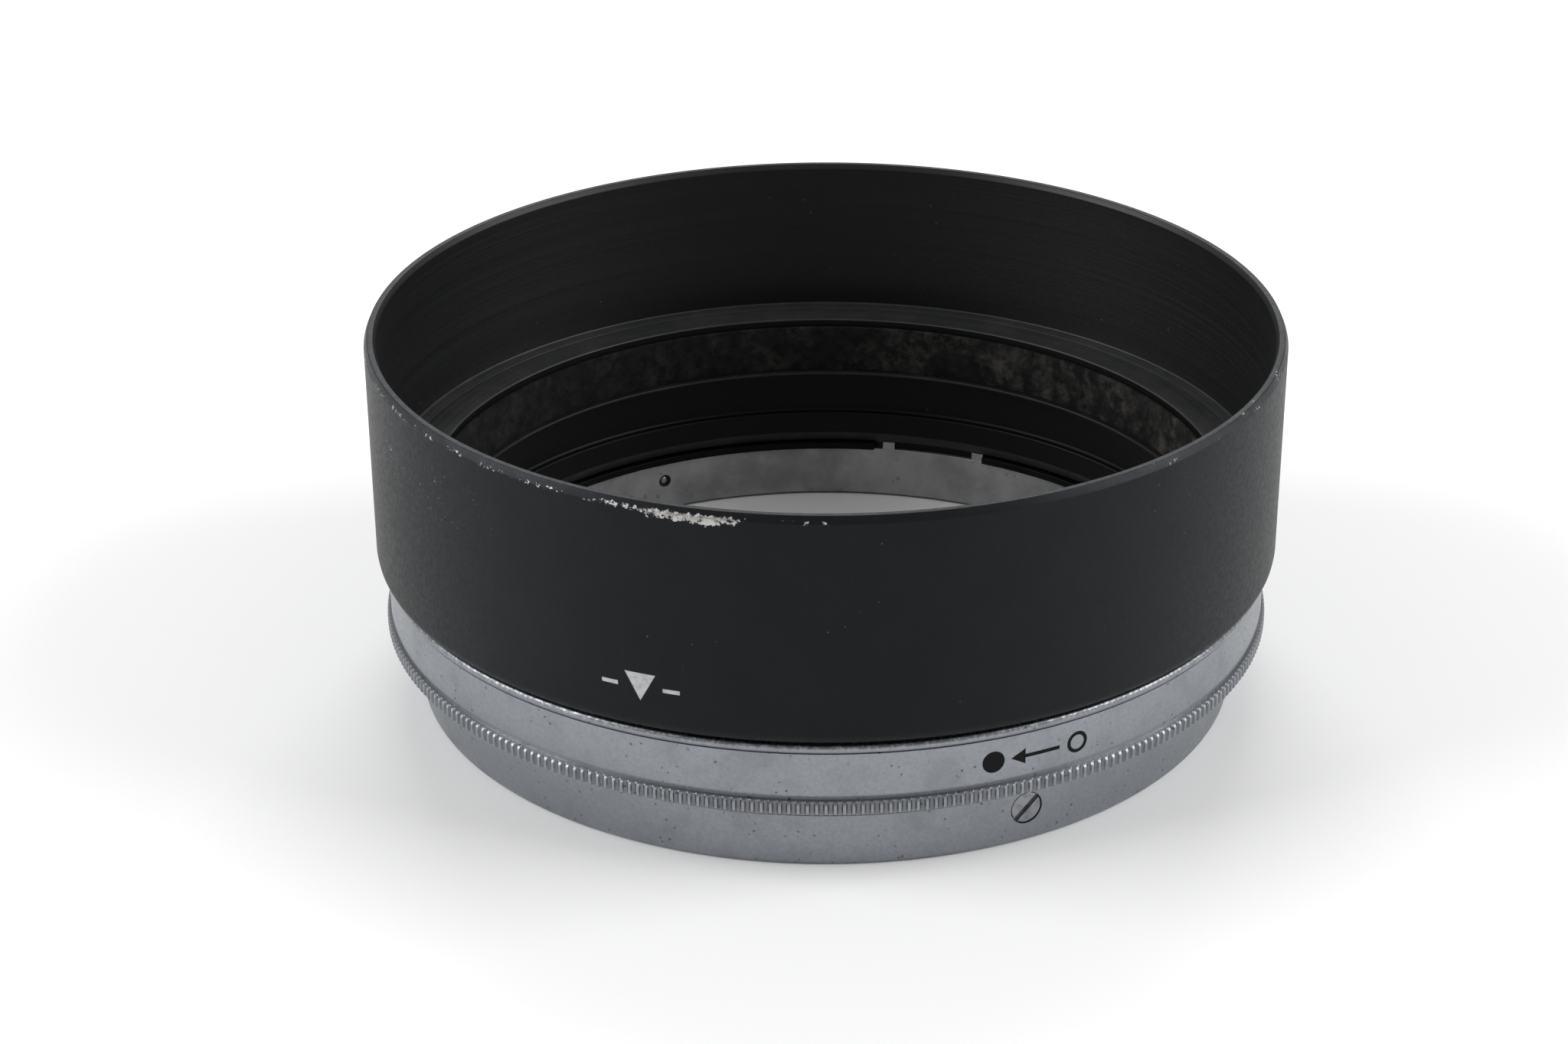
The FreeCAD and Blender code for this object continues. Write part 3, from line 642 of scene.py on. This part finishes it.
# lighter black for the skirt's bevel and the lens stop: a painted highlight where they catch light, with
# some wear on the stop
black_bevel_worn_and_lit = inner_black("bevel black, worn and with painted highlight", 15000.0, (0.0070, 0.0073, 0.0072), 0.12)
black_jaw = inner_black("jaw black", 12000.0, (0.0012, 0.0012, 0.0013), 0.02, gloss=0.1)
flock = lining_material()
chrome_ring = satin_chrome("satin chrome ring")
# the base's chrome is a darker copy of the ring's: painted shade, as it sits low by the floor under the
# hood
chrome_base_shaded = satin_chrome("satin chrome base in painted shade", (0.272, 0.286, 0.307))
bare = bare_metal()
screw_steel = steel("screw steel", (0.30, 0.310, 0.322), 0.36)
spring_steel = steel("spring steel", (0.16, 0.16, 0.165), 0.4)
white_paint = paint("white filling", (0.45, 0.455, 0.46))
black_paint = paint("black filling", (0.004, 0.004, 0.0045))


# ---- housing ----
def leg_azimuths():
    return [FIRST_LEG + 2 * math.pi * k / 3 for k in range(3)]


def hinge_azimuths():
    return [leg - HINGE_BEFORE_LEG for leg in leg_azimuths()]


def build_shroud():
    inner = shroud_r - SHROUD_WALL
    corners = [
        (shroud_bore, shroud_bottom, 0.08 * MM), (shroud_r, shroud_bottom, 0.9 * MM),
        (shroud_r, total_height - 0.55 * MM, 0.25 * MM),
        (shroud_r - 0.25 * MM, total_height, 0.12 * MM),
        (inner + 0.2 * MM, total_height, 0.1 * MM), (inner, total_height - 0.4 * MM, 0.2 * MM),
        (inner, ledge_z, 0.12 * MM), (shroud_bore, ledge_z, 0.06 * MM)]
    cutters = mark_cutters(index_marks(), shroud_r, INDEX_AZIMUTH)
    mesh = carve(turned_mesh("shroud", outline(*corners)), cutters)
    looks = [black_outside, black_inside, black_ledge]
    piece = new_object("shroud_shell", mesh, "housing", looks)
    for face in mesh.polygons:
        radius = math.hypot(face.center.x, face.center.y)
        on_ledge = radius < inner + 1e-6 and abs(face.center.z - ledge_z) < LEDGE_ZONE
        inside = radius < inner + 0.12 * MM and face.center.z > ledge_z
        face.material_index = 2 if on_ledge else 1 if inside else 0
    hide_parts("shroud")
    fill = mark_fill("index_mark_filling", index_marks(), shroud_r, INDEX_AZIMUTH)
    new_object("index_mark_filling", fill, "housing", white_paint)


def sleeve_tube():
    """Turned sleeve with its lip, recess and skirt, and a window for each follower."""
    sleeve_bore = sleeve_r - SLEEVE_WALL
    seat = lining_outer_r + SEAT_GAP
    foot = stop_bottom - SEAT_GAP
    bevel_across, bevel_up = SKIRT_BEVEL
    tube = turned_mesh("sleeve", outline(
        (sleeve_bore, SLEEVE_BOTTOM, 0), (sleeve_r, SLEEVE_BOTTOM, 0), (sleeve_r, ledge_z, 0.04 * MM),
        (seat, ledge_z, 0.12 * MM), (seat, foot, 0), (lining_r, foot, 0),
        (lining_r, NECK_LIP_Z, 0.08 * MM), (RECESS_R, NECK_LIP_Z, 0.2 * MM),
        (RECESS_R, FLANGE_TOP, 0.3 * MM), (SKIRT_BORE, FLANGE_TOP, 0.16 * MM),
        (SKIRT_BORE, SKIRT_BOTTOM + bevel_up, 0.3 * MM),
        (SKIRT_BORE + bevel_across, SKIRT_BOTTOM, 0.06 * MM),
        (SKIRT_R, SKIRT_BOTTOM, 0.05 * MM), (SKIRT_R, FLANGE_BOTTOM, 0),
        (sleeve_bore, FLANGE_BOTTOM, 0)))
    near, far = sleeve_bore - CUT_BEYOND, sleeve_r + CUT_BEYOND
    corners = [(near, WINDOW_BOTTOM), (far, WINDOW_BOTTOM), (far, WINDOW_TOP), (near, WINDOW_TOP)]
    windows = [turned_mesh("window", corners, 4, hinge + FOLLOWER_AZIMUTH - WINDOW_BEFORE, WINDOW_SPAN)
               for hinge in hinge_azimuths()]
    return carve(tube, windows)


def sleeve_legs():
    """The three legs, a hair short of the sleeve's bore and of the flange that they hang from."""
    edge = 0.12 * MM
    root_r = sleeve_r - SLEEVE_WALL - SEAT_GAP / 2
    root_z = FLANGE_BOTTOM - SEAT_GAP / 2
    corners = outline(
        (LEG_BORE, leg_bottom, edge), (LEG_R, leg_bottom, 0), (LEG_R, SLEEVE_BOTTOM, 0),
        (root_r, SLEEVE_BOTTOM, 0), (root_r, root_z, 0), (LEG_BORE, root_z, 0))
    return [turned_mesh("leg", corners, 24, leg - LEG_SPAN / 2, LEG_SPAN) for leg in leg_azimuths()]


def build_neck():
    mesh = joined("sleeve_and_legs", [sleeve_tube()] + sleeve_legs())
    looks = [black_sleeve, black_ledge, black_bevel_worn_and_lit]
    piece = new_object("sleeve_and_legs", mesh, "housing", looks)
    bevel_across, bevel_up = SKIRT_BEVEL
    for face in mesh.polygons:
        radius = math.hypot(face.center.x, face.center.y)
        on_ledge = face.center.z > ledge_z - LEDGE_ZONE
        # the skirt's bevel faces take the lighter black, a painted highlight
        on_bevel = radius < SKIRT_BORE + bevel_across and face.center.z < SKIRT_BOTTOM + bevel_up
        face.material_index = 1 if on_ledge else 2 if on_bevel else 0
    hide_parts("neck_sleeve")


def build_stop_and_lining():
    mesh = turned_mesh("lens_stop_ring", outline(
        (stop_bore, stop_bottom, 0.05 * MM), (stop_r, stop_bottom, 0.02 * MM),
        (stop_r, stop_top, 0.02 * MM), (stop_bore, stop_top, 0.08 * MM)))
    # the stop ring takes the lighter black: wear and a painted highlight
    piece = new_object("lens_stop_ring", mesh, "housing", black_bevel_worn_and_lit)
    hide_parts("lens_stop")
    mesh = turned_mesh("flock_lining_band", outline(
        (lining_r, lining_bottom, 0.05 * MM), (lining_outer_r, lining_bottom, 0),
        (lining_outer_r, lining_top, 0), (lining_r, lining_top, 0.05 * MM)))
    piece = new_object("flock_lining_band", mesh, "housing", flock)
    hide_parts("flock_lining")


def screw_holes(radius, inner, outer):
    """A drill for each base screw."""
    return [placed(radial_cylinder(radius, inner, outer, SCREW_Z), azimuth)
            for azimuth, _ in BASE_SCREWS]


def build_base():
    mesh = turned_mesh("base", outline(
        (base_bore, 0, 0.1 * MM), (base_r, 0, 0.45 * MM), (base_r, base_top, 0.08 * MM),
        (base_bore, base_top, 0)))
    seats = screw_holes(SCREW_HEAD_R + 0.09 * MM, base_r - 0.46 * MM, base_r + 0.5 * MM)
    seats += screw_holes(0.5 * MM, base_bore - MM, base_r)
    # darker chrome copy on the base: painted shade
    piece = new_object("base_shell", carve(mesh, seats), "housing", chrome_base_shaded)
    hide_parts("base_ring")


def build_carrier():
    """Bare tube with the jaws' shelf, and the rim, whose bore is wider than the flush edge below."""
    tube_r = base_bore - SEAT_GAP
    shelf_bottom = base_top + SEAT_GAP
    edge = 0.04 * MM
    mesh = turned_mesh("carrier", outline(
        (carrier_bore, carrier_bottom, 0.12 * MM), (tube_r, carrier_bottom, 0.05 * MM),
        (tube_r, shelf_bottom, 0), (base_r, shelf_bottom, edge), (base_r, FLANGE_UNDERSIDE, 0),
        (carrier_flange_r, FLANGE_UNDERSIDE, edge), (carrier_flange_r, CARRIER_TOP, edge),
        (CARRIER_RIM_BORE, CARRIER_TOP, edge), (CARRIER_RIM_BORE, SHELF_TOP, edge),
        (carrier_bore, SHELF_TOP, 0.06 * MM)))
    drills = screw_holes(SCREW_CLEARANCE_R, carrier_bore - MM, base_r)
    stud_near, stud_far = STUD_SPAN
    stud_bottom = SHELF_TOP + SEAT_GAP / 4
    corners = outline((carrier_bore, stud_bottom, 0), (STUD_R, stud_bottom, 0),
                      (STUD_R, stud_top, 0.08 * MM), (carrier_bore, stud_top, 0.12 * MM))
    studs = [turned_mesh("stud", corners, 8, start, stud_far - stud_near)
             for leg in leg_azimuths() for start in (leg + stud_near, leg - stud_far)]
    mesh = joined("bare_carrier", [carve(mesh, drills)] + studs)
    piece = new_object("bare_carrier", mesh, "housing", bare)
    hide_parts("jaw_carrier")


def build_base_screws():
    """Flush slotted screws, each with a domed tip that ends just short of the carrier's bore."""
    head_r = SCREW_HEAD_R
    face = base_r - 0.05 * MM
    slot_depth, slot_width = SCREW_SLOT
    tip = [(r, carrier_bore + reach, 0.1 * MM) for r, reach in SCREW_TIP]
    screws = []
    for azimuth, slot_turn in BASE_SCREWS:
        screw = radial_turned("screw", outline(
            (AXIS_R, carrier_bore + 0.05 * MM, 0), *tip, (SCREW_SHANK_R, face - 0.38 * MM, 0),
            (head_r, face - 0.30 * MM, 0), (head_r, face, 0.07 * MM),
            (AXIS_R, face + 0.02 * MM, 0)), SCREW_Z, 96)
        slot = bpy.data.meshes.new("slot")
        tool = bmesh.new()
        bmesh.ops.create_cube(tool, size=1.0)
        tool.to_mesh(slot)
        tool.free()
        slot.transform(Matrix.Diagonal((slot_depth, 4 * head_r, slot_width, 1)))
        slot.transform(Matrix.Rotation(math.radians(slot_turn), 4, "X"))
        slot.transform(Matrix.Translation((face, 0, SCREW_Z)))
        screws.append(placed(carve(screw, [slot]), azimuth))
    mesh = joined("slotted_base_screws", screws)
    piece = new_object("slotted_base_screws", mesh, "housing", screw_steel)
    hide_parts("base_screws")


# ---- knurled clamping ring ----
def flute_r(azimuth):
    """Radius of the flute's floor at that azimuth; larger than the flange between flutes."""
    pitch = 2 * math.pi / FLUTE_COUNT
    off = (azimuth + pitch / 2) % pitch - pitch / 2
    centre = knurl_r - FLUTE_DEPTH + FLUTE_R
    side = centre * math.sin(off)
    if abs(side) >= FLUTE_R:
        return centre
    return centre * math.cos(off) - math.sqrt(FLUTE_R ** 2 - side ** 2)


def cam_r(azimuth):
    """Radius of the cam grooves' floor in the ring's bore at that azimuth."""
    for hinge in hinge_azimuths():
        ahead = (azimuth - hinge - FOLLOWER_AZIMUTH + CAM_MARGIN) % (2 * math.pi)
        if ahead <= RING_TRAVEL + 2 * CAM_MARGIN:
            turn = ahead - CAM_MARGIN
            return max(CAM_START_R - JAW_TRAVEL * turn / RING_TRAVEL, ring_bore)
    return ring_bore


def knurl_rows():
    """(radius, height) of the knurled flange, from its foot to its rounded shoulder."""
    shoulder = 0.42 * MM
    rows = [(knurl_r - 0.12 * MM, ring_bottom)]
    rows += [(knurl_r, ring_bottom + step * MM) for step in (0.12, 0.4)]
    for k in range(7):
        turn = math.pi / 2 * k / 6
        rows.append((knurl_r - shoulder * (1 - math.cos(turn)),
                     KNURL_TOP - shoulder * (1 - math.sin(turn))))
    return rows


def band_rows():
    """(radius, height) of the plain band, the groove over it and the bead."""
    root_r = BAND_R - 0.1 * MM
    rows = [(root_r, KNURL_TOP + 0.03 * MM), (root_r + 0.02 * MM, BAND_BOTTOM - 0.05 * MM),
            (BAND_R - 0.03 * MM, BAND_BOTTOM + 0.06 * MM), (BAND_R, BAND_BOTTOM + 0.25 * MM),
            (BAND_R, (BAND_BOTTOM + BAND_TOP) / 2), (BAND_R, BAND_TOP - 0.07 * MM),
            (BAND_R - 0.1 * MM, BAND_TOP - 0.03 * MM), (BAND_R - 0.1 * MM, BAND_TOP + 0.03 * MM)]
    bead_middle = (BAND_TOP + ring_top) / 2 + 0.02 * MM
    bead_half = (ring_top - BAND_TOP) / 2 - 0.02 * MM
    for k in range(9):
        turn = -math.pi / 2 + math.pi * k / 8
        rows.append((BEAD_R - 0.26 * MM * (1 - math.cos(turn)),
                     bead_middle + bead_half * math.sin(turn)))
    return rows


def stitched(rows):
    """Faces between each (first vertex, count) row and the next, where one count divides the other."""
    faces = []
    for k in range(len(rows)):
        (first, count), (second, other) = rows[k], rows[(k + 1) % len(rows)]
        if count == other:
            for c in range(count):
                d = (c + 1) % count
                faces.append((first + c, first + d, second + d, second + c))
            continue
        big, small, many, few = first, second, count, other
        if count < other:
            big, small, many, few = second, first, other, count
        ratio = many // few
        for c in range(few):
            d = (c + 1) % few
            edge = [big + (c * ratio + j) % many for j in range(ratio + 1)]
            faces.append(tuple(edge) + (small + d, small + c))
    return faces


def build_ring():
    """Fine rows of vertices through the knurl, and coarser ones for the band, bead, bore and cams."""
    pitch = 2 * math.pi / FLUTE_COUNT
    fine_angles = [pitch * (k + off) for k in range(FLUTE_COUNT) for off in FLUTE_OFFSETS]
    coarse_angles = fine_angles[::len(FLUTE_OFFSETS) // 2]
    vertices = []
    rows = []

    def add_row(angles, radius_at, z):
        rows.append((len(vertices), len(angles)))
        for angle in angles:
            r = radius_at(angle)
            vertices.append((r * math.cos(angle), r * math.sin(angle), z))

    for r, z in knurl_rows():
        add_row(fine_angles, lambda angle, r=r: min(r, flute_r(angle)), z)
    for r, z in band_rows() + [(ring_bore, ring_top), (ring_bore, BORE_BOTTOM)]:
        add_row(coarse_angles, lambda angle, r=r: r, z)
    for z in (CAM_TOP, ring_bottom):
        add_row(coarse_angles, cam_r, z)
    mesh = finish_mesh("clamp ring", vertices, stitched(rows), sharp_deg=RING_SHARP_DEG)
    mesh = carve(mesh, mark_cutters(lock_marks(), BAND_R, LOCK_AZIMUTH), RING_SHARP_DEG)
    piece = new_object("knurled_clamping_ring", mesh, "ring", chrome_ring)
    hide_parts("clamp_ring")
    fill = mark_fill("lock_mark_filling", lock_marks(), BAND_R, LOCK_AZIMUTH)
    new_object("lock_mark_filling", fill, "ring", black_paint)


# ---- jaws ----
def jaw_shape():
    """Flat curved plate and upright lug, with the hinge's hole and the follower's."""
    edge = 0.1 * MM
    plate = turned_mesh("jaw", outline(
        (jaw_bore, jaw_bottom, edge), (jaw_outer_r, jaw_bottom, edge),
        (jaw_outer_r, JAW_PLATE_TOP, edge), (jaw_bore, JAW_PLATE_TOP, edge)),
        160, FREE_END, HINGE_END - FREE_END)
    lug_start, lug_span = LUG_SPAN
    lug_r, lug_bottom = jaw_outer_r - edge, JAW_PLATE_TOP + SEAT_GAP / 4
    lug = turned_mesh("lug", outline(
        (LUG_BORE, lug_bottom, 0), (lug_r, lug_bottom, 0), (lug_r, lug_top, edge),
        (LUG_BORE, lug_top, edge)), 32, lug_start, lug_span)
    low, high = jaw_bottom - MM, lug_top + MM
    hole = turned_mesh("hole", [(AXIS_R, low), (HINGE_HOLE_R, low), (HINGE_HOLE_R, high),
                                (AXIS_R, high)], 32)
    hole.transform(Matrix.Translation((HINGE_R, 0, 0)))
    drill = radial_cylinder(FOLLOWER_HOLE_R, LUG_BORE - MM, jaw_outer_r + MM, FOLLOWER_Z)
    drill = placed(drill, FOLLOWER_AZIMUTH)
    return joined("jaw", [carve(plate, [hole]), carve(lug, [drill])])


def build_jaws():
    shape = jaw_shape()
    for number, hinge in enumerate(hinge_azimuths(), start=1):
        mesh = placed(shape, hinge)
        piece = new_object(f"jaw_{number}_arc", mesh, f"jaw_{number}", black_jaw)
        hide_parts(f"clamp_jaw_{number}")


def paint_nodes():
    """Materials of the pieces whose CAD shape stays."""
    kept = {"wave_spring": spring_steel, "keeper_ring": bare, "leg_screws": screw_steel}
    for number in (1, 2, 3):
        kept[f"hinge_pin_{number}"] = black_jaw
        kept[f"jaw_follower_{number}"] = screw_steel
    for node, material in kept.items():
        mesh = frame["nodes"][node].data
        mesh.materials.clear()
        mesh.materials.append(material)


# ---- floor, light, camera ----
def build_stage():
    """Pale matt floor."""
    mesh = bpy.data.meshes.new("floor")
    half = 3.0
    corners = [(-half, -half, 0), (half, -half, 0), (half, half, 0), (-half, half, 0)]
    mesh.from_pydata(corners, [], [(0, 1, 2, 3)])
    floor = bpy.data.objects.new("Floor", mesh)
    bpy.context.scene.collection.objects.link(floor)
    material = bpy.data.materials.new("floor")
    material.use_nodes = True
    shader = material.node_tree.nodes["Principled BSDF"]
    shader.inputs["Base Color"].default_value = (0.86, 0.86, 0.86, 1)
    shader.inputs["Roughness"].default_value = 0.9
    mesh.materials.append(material)


def soft_light(name, place, size, power):
    """Square area light aimed at the hood."""
    data = bpy.data.lights.new(name, "AREA")
    data.size = size
    data.energy = power
    light = bpy.data.objects.new(name, data)
    light.location = place
    light.rotation_euler = (-Vector(place)).to_track_quat("-Z", "Y").to_euler()
    bpy.context.scene.collection.objects.link(light)


def build_light():
    bpy.context.scene.view_settings.view_transform = "Standard"
    world = bpy.data.worlds.new("studio")
    world.use_nodes = True
    background = world.node_tree.nodes["Background"]
    background.inputs["Color"].default_value = (1, 1, 1, 1)
    background.inputs["Strength"].default_value = 0.45
    bpy.context.scene.world = world
    soft_light("Left softbox", (-0.9, -0.15, 0.5), 0.7, 9.0)
    soft_light("Right softbox", (0.9, -0.1, 0.5), 0.7, 9.0)
    soft_light("Back softbox", (0.0, 0.9, 0.8), 0.7, 6.0)


def build_camera():
    """Long lens from the front, 28 degrees above the horizon; the shift frames the hood off centre."""
    data = bpy.data.cameras.new("camera")
    data.sensor_width = 36.0
    data.lens = 80.1
    data.shift_x = -0.0268
    data.shift_y = 0.0864
    data.clip_start = 0.01
    camera = bpy.data.objects.new("Camera", data)
    distance = 0.2792
    elevation = math.radians(27.93)
    camera.location = (0, -distance * math.cos(elevation), distance * math.sin(elevation))
    camera.rotation_euler = (math.pi / 2 - elevation, 0, 0)
    bpy.context.scene.collection.objects.link(camera)
    bpy.context.scene.camera = camera


build_shroud()
build_neck()
build_stop_and_lining()
build_base()
build_carrier()
build_base_screws()
build_ring()
build_jaws()
paint_nodes()
build_stage()
build_light()
build_camera()
